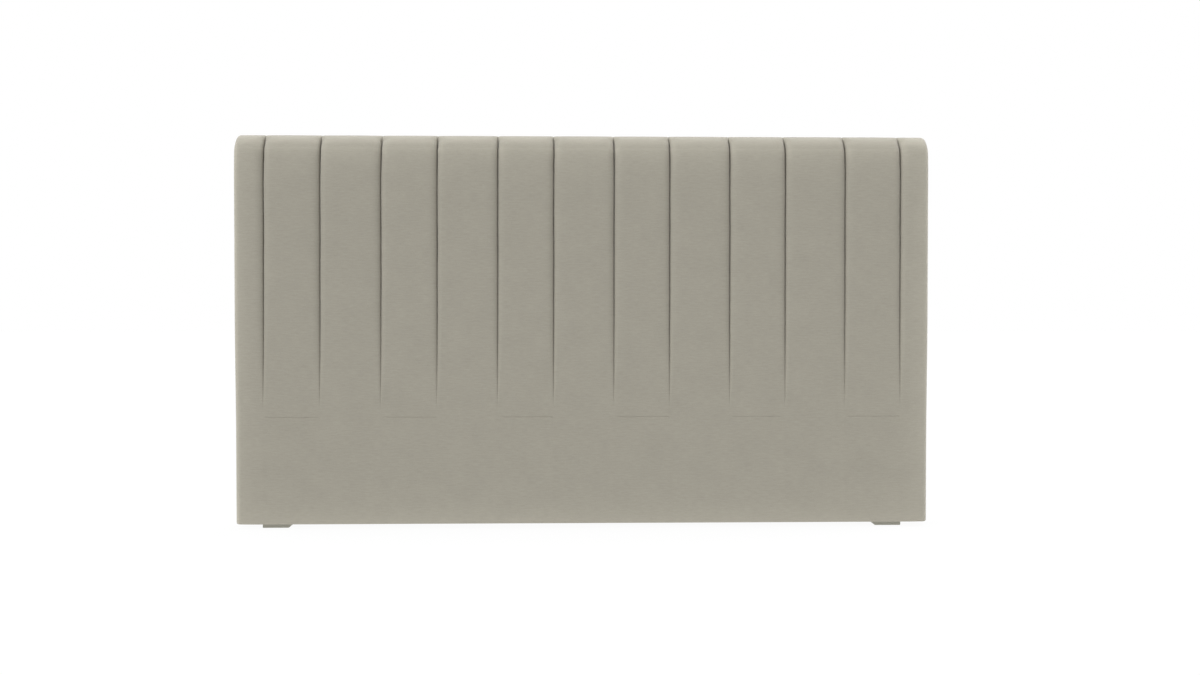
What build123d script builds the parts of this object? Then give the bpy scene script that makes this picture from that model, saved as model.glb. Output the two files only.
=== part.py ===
from build123d import *
from math import asin, degrees, sqrt
import os

# Floor-standing upholstered headboard with vertical sewn channels.
# X runs across the width, -Y is the front and Z is up. The origin is on the floor, in the
# middle of the width and of the depth. All sizes are in millimetres.

# Front of the cover: two end panels, and channels that begin and end with a narrow one
end_panel = 76.0
narrow_channel = 144.5
wide_channel = 156.2
narrow_count = 6
plain_height = 276.5  # from the bottom edge up to the cross seams
channel_height = 729.5  # from the cross seams up to the top

# Layers from front to back
fabric = 1.5
wadding_layer = 5.0
face_foam_layer = 40.0
board_layer = 6.0
stock_depth = 44.0  # depth of the frame's timber
lining_layer = 1.0
staple_wire = 1.0

# Padding between the timber and the wadding, at the sides and on top
side_foam_layer = 10.0
top_foam_layer = 20.0

# Rounding of the padded form
crown_radius = 42.0  # top front edge
side_radius = 14.0  # front and top edges of the sides
lean_width = 8.0  # how far each side is drawn in at the top
lean_height = 57.0  # height over which it is drawn in

# Sewn grooves: two rolls of fabric that meet in a line below the face
groove_depth = 11.0
groove_roll = 27.0  # radius of the rolls
groove_lip = 0.4  # the rolls' crests clear the face by this, so they meet it at an angle
fade_gap = 22.0  # from the cross seams up to where a groove begins
fade_length = 360.0  # from there up to its full depth
fade_shares = ((0.25, 0.5), (0.55, 0.8), (1.0, 1.0))  # of the fade's length, and of the depth
crown_shares = (1.0, 0.8, 0.7, 0.36)  # of the depth, in equal steps of turn round the crown

# Timber frame
stock_width = 69.0
arris = 1.5
post_spacing = 1100.0  # between the centres of the left and right posts
corner_block_leg = 90.0
corner_block_depth = 22.0

# Dowels, two in each joint of the frame
dowel_radius = 5.0
dowel_length = 60.0
dowel_chamfer = 1.0
dowel_end_gap = 1.0
dowel_pitch = 34.0

# Countersunk screws that hold the board to the timber
board_screw_radius = 2.0
board_screw_head_radius = 4.0
board_screw_head_depth = 2.4
board_screw_length = 30.0
board_screw_tip = 4.0
board_screw_recess_span = 4.0
stile_screw_count = 4
bay_screw_shares = (0.25, 0.75)  # of the way from the middle to a post

# Threaded inserts for the bolts that fix the headboard to a bed or a wall, M8
insert_bore_radius = 3.32
insert_barrel_radius = 6.0
insert_length = 18.0
insert_flange_radius = 8.5
insert_flange = 1.5
insert_mouth = 0.4
insert_low_height = 150.0  # lower row, above the floor
insert_spacing = 200.0  # from the lower to the upper row
lining_hole_radius = 10.0

# Back: the cover is turned onto the timber, and the lining covers its edge
margin_turn = 40.0  # from the timber's outline in to the cover's edge
lining_inset = 10.0  # from the timber's outline in to the lining's edge
staple_crown = 10.0
staple_leg = 9.0
staple_inset = 6.0  # from the lining's edge in to the row of staples
staple_pitch = 75.0
cover_staple_inset = 28.0  # from the timber's outline in to the cover's staples

# Feet
foot_height = 12.0
foot_length = 78.0
foot_slant = 11.0  # how much shorter the underside is, at the inner end
foot_depth = 70.0
foot_setback = 25.0  # behind the front of the cover
foot_side_inset = 68.0
foot_edge = 1.0
foot_bore_radius = 2.3
foot_counterbore_radius = 5.0
foot_counterbore_depth = 4.0
foot_screw_pitch = 40.0
foot_screw_radius = 2.0
foot_screw_head_radius = 4.2
foot_screw_head_height = 2.2
foot_screw_length = 34.0
foot_screw_tip = 4.0
foot_screw_recess_span = 4.4

# Cross recess in the head of either screw
screw_recess_arm = 1.1
screw_recess_depth = 1.2

# Every cut runs this far past what it cuts
overrun = 20.0

# Outside sizes and planes that follow from the values above. The fabric is folded round the
# edges of the bottom and of the back with a radius of twice its thickness.
wide_count = narrow_count - 1
width = 2 * end_panel + narrow_count * narrow_channel + wide_count * wide_channel
body_bottom = foot_height
seam_z = body_bottom + plain_height
body_top = seam_z + channel_height
padding = fabric + wadding_layer
hem_radius = 2 * fabric
depth = (padding + face_foam_layer + board_layer + stock_depth
         + fabric + lining_layer + staple_wire)
front = -depth / 2
foam_front = front + padding
board_front = foam_front + face_foam_layer
stock_front = board_front + board_layer
stock_back = stock_front + stock_depth
margin_back = stock_back + fabric
lining_back = margin_back + lining_layer
stock_middle = (stock_front + stock_back) / 2

# Outline of the timber frame
timber_half = width / 2 - padding - side_foam_layer
timber_bottom = body_bottom + fabric
timber_top = body_top - padding - top_foam_layer
timber_middle = (timber_bottom + timber_top) / 2
stile_inner = timber_half - stock_width
bottom_rail_top = timber_bottom + stock_width
top_rail_bottom = timber_top - stock_width
middle_rail_bottom = timber_middle - stock_width / 2
middle_rail_top = timber_middle + stock_width / 2
post_x = post_spacing / 2
foot_outer = width / 2 - foot_side_inset
foot_screw_x = foot_outer - (foot_length - foot_slant) / 2


def groove_places():
    """Where the grooves stand across the width, from left to right."""
    places = [-width / 2 + end_panel]
    for channel in range(narrow_count + wide_count):
        step = narrow_channel if channel % 2 == 0 else wide_channel
        places.append(places[-1] + step)
    return places


def keep(piece, name):
    """Label a finished piece and write its file."""
    piece.label = name
    export_step(piece, f"parts/{name}.step")


def slab(low, high):
    """A plain block between two opposite corners."""
    size = [b - a for a, b in zip(low, high)]
    centre = [(a + b) / 2 for a, b in zip(low, high)]
    with BuildPart() as block:
        with Locations(Vector(*centre)):
            Box(*size)
    return block.part


def groove_section(plane, section_depth):
    """Section of a groove: two rolls that meet in a line, closed above the surface."""
    reach = section_depth + groove_lip
    half = sqrt(2 * groove_roll * reach - reach**2)
    turn = degrees(asin(half / groove_roll))
    with BuildSketch(plane) as section:
        with BuildLine():
            CenterArc((-half, groove_lip - groove_roll), groove_roll, 90 - turn, turn)
            CenterArc((half, groove_lip - groove_roll), groove_roll, 90, turn)
            Polyline((half, groove_lip), (half, overrun), (-half, overrun), (-half, groove_lip))
        make_face()
    return section.sketch.face()


def face_plane(inset, height):
    """Plane across a groove on the front, its Y pointing out of the surface."""
    return Plane((0, front + inset, height), x_dir=(1, 0, 0), z_dir=(0, 0, -1))


def crown_plane(inset, angle):
    """Plane across a groove on the crown, turned from the front (0) to the top (90)."""
    out = Vector(0, -1, 0).rotate(Axis.X, -angle)
    along = Vector(0, 0, -1).rotate(Axis.X, -angle)
    axis_point = Vector(0, front + crown_radius, body_top - crown_radius)
    return Plane(axis_point + out * (crown_radius - inset), x_dir=(1, 0, 0), z_dir=along)


def groove_cutter(inset):
    """What one groove takes away: it fades in, runs up, over the crown and to the back."""
    fade_bottom = seam_z + fade_gap
    fade_top = fade_bottom + fade_length
    fading = [groove_section(face_plane(inset, fade_bottom), -groove_lip / 2)]
    for length_share, depth_share in fade_shares:
        plane = face_plane(inset, fade_bottom + length_share * fade_length)
        fading.append(groove_section(plane, depth_share * groove_depth))
    step = 90 / (len(crown_shares) - 1)
    crown = [
        groove_section(crown_plane(inset, i * step), share * groove_depth)
        for i, share in enumerate(crown_shares)
    ]
    with BuildPart() as cutter:
        loft(fading)
        extrude(fading[-1], amount=body_top - crown_radius - fade_top, dir=(0, 0, 1))
        loft(crown)
        extrude(crown[-1], amount=depth - crown_radius + overrun, dir=(0, 1, 0))
    return cutter.part


def padded_form(inset, back_y, bottom_z, hem=0):
    """The grooved form, taken in by inset at the front, sides and top."""
    groove = groove_cutter(inset)
    half = width / 2 - inset
    top_z = body_top - inset
    lean_z = top_z - lean_height
    with BuildPart() as form:
        with BuildSketch(Plane.XZ.offset(-back_y)):
            with BuildLine():
                Polyline((-half, lean_z), (-half, bottom_z), (half, bottom_z), (half, lean_z))
                right = TangentArc((half, lean_z), (half - lean_width, top_z), tangent=(0, 1))
                left = TangentArc((-half, lean_z), (lean_width - half, top_z), tangent=(0, 1))
                Line(left @ 1, right @ 1)
            make_face()
        extrude(amount=back_y - front - inset)
        top_front = form.edges().filter_by(Axis.X).group_by(Axis.Z)[-1].sort_by(Axis.Y)[0]
        fillet(top_front, radius=crown_radius - inset)
        crown = form.faces().sort_by_distance((0, front + inset, top_z))[0]
        rim_faces = [form.faces().sort_by(Axis.Y)[0], crown, form.faces().sort_by(Axis.Z)[-1]]
        rim = [e for f in rim_faces for e in f.edges().filter_by(Axis.X, reverse=True)]
        fillet(rim, radius=side_radius - inset)
        if hem > 0:
            hem_faces = [form.faces().sort_by(Axis.Z)[0], form.faces().sort_by(Axis.Y)[-1]]
            fillet({e for f in hem_faces for e in f.edges()}, radius=hem)
        with Locations(*[(x, 0, 0) for x in groove_places()]):
            add(groove, mode=Mode.SUBTRACT)
    return form.part


def turned(*points):
    """A solid turned about Z, from the points of half its section."""
    with BuildPart() as solid:
        with BuildSketch(Plane.XZ):
            with BuildLine():
                Polyline(*points, close=True)
            make_face()
        revolve(axis=Axis.Z)
    return solid.part


def with_recess(screw, head, span, arm, recess_depth):
    """The screw with a cross cut into its head, on a plane that faces out of it."""
    with BuildPart() as recessed:
        add(screw)
        with BuildSketch(head):
            Rectangle(span, arm)
            Rectangle(arm, span)
        extrude(amount=-recess_depth, mode=Mode.SUBTRACT)
    return recessed.part


def placed(piece, places):
    """Copies of one piece at each of the places."""
    with BuildPart() as copies:
        with Locations(*places):
            add(piece)
    return copies.part


def board_screw_places():
    """Board screws: up each stile, along each rail and at the middle of each post."""
    points = []
    stile_x = timber_half - stock_width / 2
    stile_step = (top_rail_bottom - bottom_rail_top) / stile_screw_count
    rail_z = (timber_bottom + stock_width / 2, timber_middle, timber_top - stock_width / 2)
    rail_x = [share * post_x for share in bay_screw_shares] + [(post_x + stile_inner) / 2]
    post_z = ((bottom_rail_top + middle_rail_bottom) / 2, (middle_rail_top + top_rail_bottom) / 2)
    for side in (-1, 1):
        points += [(side * stile_x, bottom_rail_top + (i + 0.5) * stile_step)
                   for i in range(stile_screw_count)]
        points += [(side * x, z) for x in rail_x for z in rail_z]
        points += [(side * post_x, z) for z in post_z]
    return [Location((x, board_front, z), (90, 0, 0)) for x, z in points]


def dowel_places():
    """Dowels: two in each upright joint and two at each end of the middle rail."""
    places = []
    stile_x = timber_half - stock_width / 2
    levels = {stile_x: (bottom_rail_top, top_rail_bottom),
              post_x: (bottom_rail_top, middle_rail_bottom, middle_rail_top, top_rail_bottom)}
    for side in (-1, 1):
        for shift in (-dowel_pitch / 2, dowel_pitch / 2):
            places += [Location((side * x + shift, stock_middle, z))
                       for x, heights in levels.items() for z in heights]
            end = (side * stile_inner, stock_middle, timber_middle + shift)
            places.append(Location(end, (0, 90, 0)))
    return places


def foot_screw_places():
    """Foot screws: two in each foot, side by side under the bottom rail."""
    return [
        Location((side * foot_screw_x + shift, stock_middle, foot_counterbore_depth))
        for side in (-1, 1)
        for shift in (-foot_screw_pitch / 2, foot_screw_pitch / 2)
    ]


def insert_places():
    """Threaded inserts: two in each lower post, their mouths facing the back."""
    return [
        Location((side * post_x, stock_back, insert_low_height + row * insert_spacing), (-90, 0, 0))
        for side in (-1, 1)
        for row in (0, 1)
    ]


def staple_places(outline_inset, crown_y):
    """A row of staples all round the back, inside the timber's outline."""
    half = timber_half - outline_inset
    low = timber_bottom + outline_inset
    high = timber_top - outline_inset
    across = int(2 * half / staple_pitch)
    upward = int((high - low) / staple_pitch)
    places = []
    for i in range(across):
        x = -half + (i + 0.5) * 2 * half / across
        places += [Location((x, crown_y, z)) for z in (low, high)]
    for i in range(upward):
        z = low + (i + 0.5) * (high - low) / upward
        places += [Location((x, crown_y, z), (0, 90, 0)) for x in (-half, half)]
    return places


def staple():
    """A staple with its crown along X, just behind the origin, and its legs to the front."""
    leg_x = (staple_crown - staple_wire) / 2
    with BuildPart() as wire:
        with Locations((0, staple_wire / 2, 0)):
            Box(staple_crown, staple_wire, staple_wire)
        with Locations((-leg_x, -staple_leg / 2, 0), (leg_x, -staple_leg / 2, 0)):
            Box(staple_wire, staple_leg, staple_wire)
    return wire.part


os.makedirs("parts", exist_ok=True)
places_x = groove_places()

# Fasteners, and the holes that they make in the timber, board, cover and feet
with BuildPart() as dowel:
    Cylinder(dowel_radius, dowel_length)
    chamfer(dowel.edges().filter_by(GeomType.CIRCLE), length=dowel_chamfer)
with BuildPart() as dowel_hole:
    Cylinder(dowel_radius, dowel_length + 2 * dowel_end_gap)
keep(placed(dowel.part, dowel_places()), "dowels")

# A board screw points down from the flat of its head, before it is placed
board_screw_blank = turned(
    (0, 0),
    (board_screw_head_radius, 0),
    (board_screw_radius, -board_screw_head_depth),
    (board_screw_radius, board_screw_tip - board_screw_length),
    (0, -board_screw_length),
)
board_screw = with_recess(
    board_screw_blank, Plane.XY, board_screw_recess_span, screw_recess_arm, screw_recess_depth)
board_screw_holes = placed(board_screw_blank, board_screw_places())
keep(placed(board_screw, board_screw_places()), "board_screws")

# A foot screw points up from the seat of its head, before it is placed
foot_screw_blank = turned(
    (0, -foot_screw_head_height),
    (foot_screw_head_radius, -foot_screw_head_height),
    (foot_screw_head_radius, 0),
    (foot_screw_radius, 0),
    (foot_screw_radius, foot_screw_length - foot_screw_tip),
    (0, foot_screw_length),
)
foot_screw_head = Plane((0, 0, -foot_screw_head_height), x_dir=(1, 0, 0), z_dir=(0, 0, -1))
foot_screw = with_recess(
    foot_screw_blank, foot_screw_head, foot_screw_recess_span, screw_recess_arm, screw_recess_depth)
foot_screw_holes = placed(foot_screw_blank, foot_screw_places())
keep(placed(foot_screw, foot_screw_places()), "foot_screws")

# An insert's barrel hangs down from its flange, before it is placed
insert = turned(
    (insert_bore_radius, -insert_length),
    (insert_barrel_radius, -insert_length),
    (insert_barrel_radius, 0),
    (insert_flange_radius, 0),
    (insert_flange_radius, insert_flange),
    (insert_bore_radius + insert_mouth, insert_flange),
    (insert_bore_radius, insert_flange - insert_mouth),
)
with BuildPart() as insert_hole:
    Cylinder(insert_barrel_radius, insert_length, align=(Align.CENTER, Align.CENTER, Align.MAX))
keep(placed(insert, insert_places()), "insert_nuts")

timber_holes = [
    placed(dowel_hole.part, dowel_places()),
    placed(insert_hole.part, insert_places()),
    board_screw_holes,
    foot_screw_holes,
]

# Timber frame: the rails at top and bottom run right across, and the rest stands between them
timbers = {
    "bottom_rail": ((-timber_half, timber_bottom), (timber_half, bottom_rail_top), Axis.X),
    "top_rail": ((-timber_half, top_rail_bottom), (timber_half, timber_top), Axis.X),
    "middle_rail": ((-stile_inner, middle_rail_bottom), (stile_inner, middle_rail_top), Axis.X),
}
for side, side_name in ((-1, "left"), (1, "right")):
    stile_x = sorted((side * stile_inner, side * timber_half))
    post_low_x = side * post_x - stock_width / 2
    post_high_x = side * post_x + stock_width / 2
    timbers[f"stile_{side_name}"] = (
        (stile_x[0], bottom_rail_top), (stile_x[1], top_rail_bottom), Axis.Z)
    timbers[f"lower_post_{side_name}"] = (
        (post_low_x, bottom_rail_top), (post_high_x, middle_rail_bottom), Axis.Z)
    timbers[f"upper_post_{side_name}"] = (
        (post_low_x, middle_rail_top), (post_high_x, top_rail_bottom), Axis.Z)

for name, (low, high, grain) in timbers.items():
    stock = slab((low[0], stock_front, low[1]), (high[0], stock_back, high[1]))
    with BuildPart() as timber:
        add(stock)
        chamfer(timber.edges().filter_by(grain), length=arris)
        add(timber_holes, mode=Mode.SUBTRACT)
    keep(timber.part, name)

# Blocks glued into the frame's four inner corners, against the board
with BuildPart() as corner_blocks:
    with BuildSketch(Plane.XZ.offset(-stock_front)):
        for side in (-1, 1):
            for corner_z, up in ((bottom_rail_top, 1), (top_rail_bottom, -1)):
                x = side * stile_inner
                with BuildLine():
                    Polyline(
                        (x, corner_z),
                        (x - side * corner_block_leg, corner_z),
                        (x, corner_z + up * corner_block_leg),
                        close=True,
                    )
                make_face()
    extrude(amount=-corner_block_depth)
keep(corner_blocks.part, "corner_blocks")

# Board over the front of the frame
board_stock = slab(
    (-timber_half, board_front, timber_bottom), (timber_half, stock_front, timber_top))
with BuildPart() as front_board:
    add(board_stock)
    add(board_screw_holes, mode=Mode.SUBTRACT)
keep(front_board.part, "front_board")

# Foam: the face pad, a strip on top of the frame and one along each side
foam_form = padded_form(padding, stock_back, timber_bottom)
beyond = width / 2 + overrun
face_room = slab(
    (-beyond, front - overrun, body_bottom), (beyond, board_front, body_top + overrun))
top_room = slab(
    (-beyond, board_front, timber_top), (beyond, stock_back + overrun, body_top + overrun))
side_room = slab(
    (timber_half, board_front, body_bottom), (beyond, stock_back + overrun, timber_top))
with BuildPart() as foam_face:
    add(foam_form)
    add(face_room, mode=Mode.INTERSECT)
keep(foam_face.part, "foam_face")
with BuildPart() as foam_top:
    add(foam_form)
    add(top_room, mode=Mode.INTERSECT)
keep(foam_top.part, "foam_top")
with BuildPart() as foam_side_right:
    add(foam_form)
    add(side_room, mode=Mode.INTERSECT)
keep(foam_side_right.part, "foam_side_right")
with BuildPart() as foam_side_left:
    mirror(foam_side_right.part, about=Plane.YZ)
keep(foam_side_left.part, "foam_side_left")

# Wadding over the front, top and sides of the foam
wadding_form = padded_form(fabric, stock_back, timber_bottom)
foam_room = padded_form(padding, stock_back + overrun, timber_bottom - overrun)
with BuildPart() as wadding:
    add(wadding_form)
    add(foam_room, mode=Mode.SUBTRACT)
keep(wadding.part, "wadding")

# Cover: a shell of fabric round the wadding and the timber, turned onto the frame's back
cover_form = padded_form(0, margin_back, body_bottom, hem_radius)
window_half = timber_half - margin_turn
back_window = slab(
    (-window_half, stock_back - overrun, timber_bottom + margin_turn),
    (window_half, margin_back + overrun, timber_top - margin_turn),
)
strip_rooms = [
    slab((places_x[i], front - overrun, seam_z),
         (places_x[i + 1], margin_back + overrun, body_top + overrun))
    for i in range(0, 2 * narrow_count, 2)
]
with BuildPart() as cover:
    add(cover_form)
    add(wadding_form, mode=Mode.SUBTRACT)
    add(back_window, mode=Mode.SUBTRACT)
    add(foot_screw_holes, mode=Mode.SUBTRACT)

# The wide channels, end panels and plain lower part are one piece, and each narrow channel
# is a strip sewn into it down both grooves and along its cross seam
with BuildPart() as cover_main:
    add(cover.part)
    add(strip_rooms, mode=Mode.SUBTRACT)
keep(cover_main.part, "cover_main")
for number, room in enumerate(strip_rooms, start=1):
    with BuildPart() as strip:
        add(cover.part)
        add(room, mode=Mode.INTERSECT)
    keep(strip.part, f"channel_strip_{number}")

# Lining over the open back, with holes where the bolts go in
lining_half = timber_half - lining_inset
lining_stock = slab(
    (-lining_half, margin_back, timber_bottom + lining_inset),
    (lining_half, lining_back, timber_top - lining_inset),
)
with BuildPart() as back_lining:
    add(lining_stock)
    with Locations(*insert_places()):
        Cylinder(lining_hole_radius, 2 * overrun, mode=Mode.SUBTRACT)
keep(back_lining.part, "back_lining")

# Staples through the cover's edge, and through the lining's edge
cover_staples = placed(staple(), staple_places(cover_staple_inset, margin_back - staple_wire))
keep(cover_staples, "cover_staples")
lining_staples = placed(staple(), staple_places(lining_inset + staple_inset, lining_back))
keep(lining_staples, "lining_staples")

# Feet: low glides with a slanted inner end, screwed up into the bottom rail
with BuildPart() as foot_right:
    with BuildSketch(Plane.XZ.offset(-(front + foot_setback))):
        with BuildLine():
            Polyline(
                (foot_outer, 0),
                (foot_outer, foot_height),
                (foot_outer - foot_length, foot_height),
                (foot_outer - foot_length + foot_slant, 0),
                close=True,
            )
        make_face()
    extrude(amount=-foot_depth)
    chamfer(foot_right.edges().group_by(Axis.Z)[0], length=foot_edge)
    underside = Plane((foot_screw_x, stock_middle, 0), x_dir=(1, 0, 0), z_dir=(0, 0, -1))
    with Locations(underside):
        with GridLocations(foot_screw_pitch, 0, 2, 1):
            CounterBoreHole(foot_bore_radius, foot_counterbore_radius, foot_counterbore_depth)
keep(foot_right.part, "foot_right")
with BuildPart() as foot_left:
    mirror(foot_right.part, about=Plane.YZ)
keep(foot_left.part, "foot_left")

print(f"width {width:.1f}, depth {depth:.1f}, height {body_top:.1f}")
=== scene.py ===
import math

import bpy
import numpy as np
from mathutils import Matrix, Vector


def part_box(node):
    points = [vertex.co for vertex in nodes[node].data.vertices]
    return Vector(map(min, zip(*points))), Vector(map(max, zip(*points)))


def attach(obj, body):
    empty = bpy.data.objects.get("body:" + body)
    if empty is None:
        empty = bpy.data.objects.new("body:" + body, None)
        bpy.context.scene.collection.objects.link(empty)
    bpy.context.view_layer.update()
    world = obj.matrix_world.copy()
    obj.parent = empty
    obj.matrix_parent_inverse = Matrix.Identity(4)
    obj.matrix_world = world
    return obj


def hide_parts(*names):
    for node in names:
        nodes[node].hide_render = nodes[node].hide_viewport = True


# Floor-standing upholstered headboard with vertical sewn channels, dressed over its frame.
# All sizes are in metres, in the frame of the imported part: X across, -Y the front, Z up.

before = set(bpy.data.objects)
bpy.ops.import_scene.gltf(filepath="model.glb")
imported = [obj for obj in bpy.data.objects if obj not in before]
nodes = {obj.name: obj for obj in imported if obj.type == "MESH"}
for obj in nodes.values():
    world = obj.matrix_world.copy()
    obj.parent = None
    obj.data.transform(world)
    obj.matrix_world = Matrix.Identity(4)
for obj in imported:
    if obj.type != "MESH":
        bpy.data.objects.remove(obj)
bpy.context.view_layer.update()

# Planes of the padded form and of the timber frame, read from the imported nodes
cover_low, cover_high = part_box("cover_main")
board_low, board_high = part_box("front_board")
foam_low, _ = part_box("foam_face")
side_foam_low, side_foam_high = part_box("foam_side_right")
lining_low, lining_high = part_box("back_lining")
insert_low, insert_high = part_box("insert_nuts")
LOFT = 0.0019  # how far the padding stands proud on top, over the plain CAD form
FRONT, BACK = cover_low.y, cover_high.y
BOTTOM, TOP = cover_low.z, cover_high.z + LOFT
HALF = cover_high.x
FABRIC = foam_low.z - BOTTOM
TIMBER_BACK = BACK - FABRIC
PADDING = foam_low.y - FRONT

# Rounding of the padded form
CROWN_HEIGHT = 0.044  # the top edge is rounded to a quarter of an ellipse
CROWN_DEPTH = 0.055
CROWN_PACE = (CROWN_HEIGHT + CROWN_DEPTH) / 2  # length of cloth for each radian round it
SIDE_RADIUS = 0.014
CORNER_RADIUS = 0.009  # the same edge on top, behind the crown
HEM_RADIUS = 0.0045
LEAN_WIDTH = 0.0013  # how far each side is drawn in at the top
LEAN_LOW = 0.055  # between these heights under the top
LEAN_HIGH = 0.012
WAIST_WIDTH = 0.0024  # the plain part is this much narrower at each side
WAIST_LOW = 0.235
WAIST_HIGH = 0.55
PILLOW_DEPTH = 0.006  # how far the face falls back towards its sides
PILLOW_REACH = 0.060
TOP_DEPTH = 0.010  # and towards its top, where the rounding over the edge follows
TOP_REACH = 0.140

# Sewn grooves
END_PANEL = 0.076
NARROW = 0.1445  # widths of the channels, which take turns from the left
WIDE = 0.1562
NARROW_COUNT = 6
SEAM_Z = BOTTOM + 0.2765
FADE_BOTTOM = SEAM_Z + 0.022
FADE_LENGTH = 0.440
FADE_PLACES = (0.0, 0.2, 0.3, 0.5, 1.0)  # shares of that length
FADE_SHARES = (0.0, 0.27, 0.43, 0.68, 1.0)  # and of the full depth
TOP_SHARE = 0.12  # of the full depth, over the top
PULL_REACH = 0.140  # near the top the cover's pull draws the grooves in deeper
PULL_SHARE = 0.60
RUN_OUT_START = 0.85  # angles round the crown between which the grooves run out
RUN_OUT_END = 1.50
ROLL_RADIUS = 0.027  # the cloth rolls into a groove from both sides
ROLL_DEPTH = 0.0080
SLIT_DEPTH = 0.0075  # and the rolls meet in a slit
SLIT_HALF = 0.0044
SWELL = 0.0017  # how far the middle of a channel stands over its seams
BACK_FADE_LOW = 0.985  # behind the crown the grooves fade out between these heights
BACK_FADE_HIGH = 1.014

# Cross seam at the foot of each narrow channel
CROSS_DEPTH = 0.0009
CROSS_HALF = 0.0017
CROSS_POWER = 1.5  # the shape of the dip
CROSS_LIP = 0.0006  # the cloth under the seam rolls out by this much
LIP_DROP = 0.0022  # most of all at this distance under it
LIP_REACH = 0.0120  # and no longer at this one
CROSS_START = 0.008  # clear of the left groove
CROSS_END = 0.0026  # clear of the right groove

# Unevenness of real sewing and stuffing, each a sum of waves of the lengths given
SEED = 7
WANDER = 0.00022  # how far a seam strays from its line
WANDER_WAVES = (0.17, 0.29, 0.41)
SEAM_SHIFT = 0.0007  # and how far all of them are pulled to the right
SHIFT_REACH = 0.030
PUCKER = 0.00035
PUCKER_WAVES = (0.031, 0.043, 0.057)
PUCKER_REACH = 0.010
WAVE = 0.00022  # soft waves over the whole face, a little aslant
WAVES_ACROSS = (0.137, 0.211, 0.34)
WAVES_UP = (0.118, 0.183, 0.29)
SLANT_ACROSS = 0.31
SLANT_UP = 0.27

# Painted light: the cloth's colour is painted paler near the sides, the bottom and the crown, a
# glow that stands in for light at the edges
PAINTED_GLOW = 0.19
PAINTED_GLOW_REACH = 0.038  # how far along the cloth the painted glow fades, away from an edge
CROWN_GLOW_PLACE = 0.006  # on top the painted glow is strongest this far above the foot of the crown
CROWN_GLOW_REACH = 0.009  # and upwards from there it fades sooner
LEFT_GLOW_SHARE = 0.65  # the photo's left edge is less pale than its bottom edge
RIGHT_GLOW_SHARE = 1.15  # and its right edge a little paler
CROWN_SKIN_LOW = 0.5  # shares of the way out to the crown: further in there is none
CROWN_SKIN_HIGH = 0.9

# Cloth simulation that swells the channels between their seams
SIM_STEP = 0.013  # size of its cells
SIM_FRAMES = 20
SIM_QUALITY = 4
SIM_PRESSURE = 1.0
SIM_TENSION = 60.0
SIM_CAP = 0.003  # the channels never swell or sink by more

# Turned edge on the back
MARGIN_TURN = 0.040

# Side foam
SIDE_FOAM_LINES = 5  # of its grid, across
SIDE_FOAM_BOW = 0.0012
SIDE_FOAM_POWER = 6

# Lining
LINING_SHEET = 0.0005  # thickness
LINING_HEM = 0.012
LINING_HEM_STEP = 0.0009  # where the hem's fold ends
LINING_HEM_RISE = 0.00018
LINING_HEM_MORE = 0.5  # the hem is thicker by this share
LINING_EDGE = 0.0012  # the rounded outer edge
LINING_EDGE_DROP = 0.0002
LINING_EDGE_THIN = 0.0003
LINING_SAG = 0.0016
LINING_SAG_SHARES = (0.48, 0.20, 0.16)  # even, and in waves across and up
LINING_SAG_LOW = 0.03  # it sags between these distances from its edge
LINING_SAG_HIGH = 0.16
LINING_WAVES_ACROSS = (0.41, 0.63, 0.9)
LINING_WAVES_UP = (0.37, 0.52)
LINING_RIPPLE = 0.00022
LINING_PULL = 0.035  # how far from the hem the staples' pull shows
LINING_OFFSETS = (  # of the grid's lines from its edge
    0.0, LINING_EDGE, 0.004, 0.008, LINING_HEM - 0.0008, LINING_HEM, 0.016, 0.022)
LINING_STEP = 0.0125
LINING_CLEAR = 0.004  # how far even lines keep from those near the edge
STAPLE_PITCH = 0.075
HOLE_RADIUS = 0.010
HOLE_STEPS = 40  # corners of each round hole
INSERT_FLANGE = 0.0085  # radius of the threaded inserts' flanges

# Camera that was fitted to the photograph, turned in degrees
CAMERA_PLACE = (-0.058, -3.497, 0.565)
CAMERA_YAW = 1.6580
CAMERA_PITCH = 1.1822
LENS = 40.03  # millimetres, as the sensor's width
SENSOR = 36.0

# Colours, with a dark and a light one for each wood
FABRIC_COLOUR = (0.342, 0.323, 0.271)
WADDING_COLOUR = (0.86, 0.86, 0.84)
FOAM_COLOUR = (0.80, 0.76, 0.62)
LINING_COLOUR = (0.020, 0.020, 0.022)
FOOT_COLOUR = (0.382, 0.373, 0.317)
ZINC_COLOUR = (0.60, 0.61, 0.62)
PINE = ((0.50, 0.34, 0.18), (0.76, 0.60, 0.40))
BEECH = ((0.48, 0.30, 0.17), (0.70, 0.50, 0.33))
BIRCH = ((0.44, 0.30, 0.17), (0.70, 0.55, 0.37))
WHITE = (1.0, 1.0, 1.0, 1.0)

# Textures
GATHER_REACH = 0.009  # how far from a seam its gathers show
CLUMP_SIZE = 9  # clumps are this many times as large as single fibres or pores
NOISE_MIDDLE = 0.5  # noises vary about this value

# Grids and meshes
TINY = 1e-4  # the air between layers, and the tolerance for places
DIGITS = 7  # grid lines are rounded to a tenth of a micrometre
LONG_GAP = 1.5  # gaps between grid lines of more steps than this are divided
SHARP_ANGLE = 40  # degrees
FAR = 1.0  # outside the headboard, for a form that is open there
BISECTIONS = 40
OUTSIDE = 0.002  # how far the grid's box stands outside the form that it is cast onto
SIDES = ("left", "right", "front", "back", "bottom", "top")


# Places of the grooves, and grids

def groove_places():
    """Where the grooves stand across the width, from left to right."""
    places = [-HALF + END_PANEL]
    for channel in range(2 * NARROW_COUNT - 1):
        places.append(places[-1] + (NARROW if channel % 2 == 0 else WIDE))
    return np.array(places)


GROOVES = groove_places()


def nearest_groove(x):
    """Distance across to the nearest groove's line."""
    return np.abs(x[:, None] - GROOVES[None, :]).min(axis=1)


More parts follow.
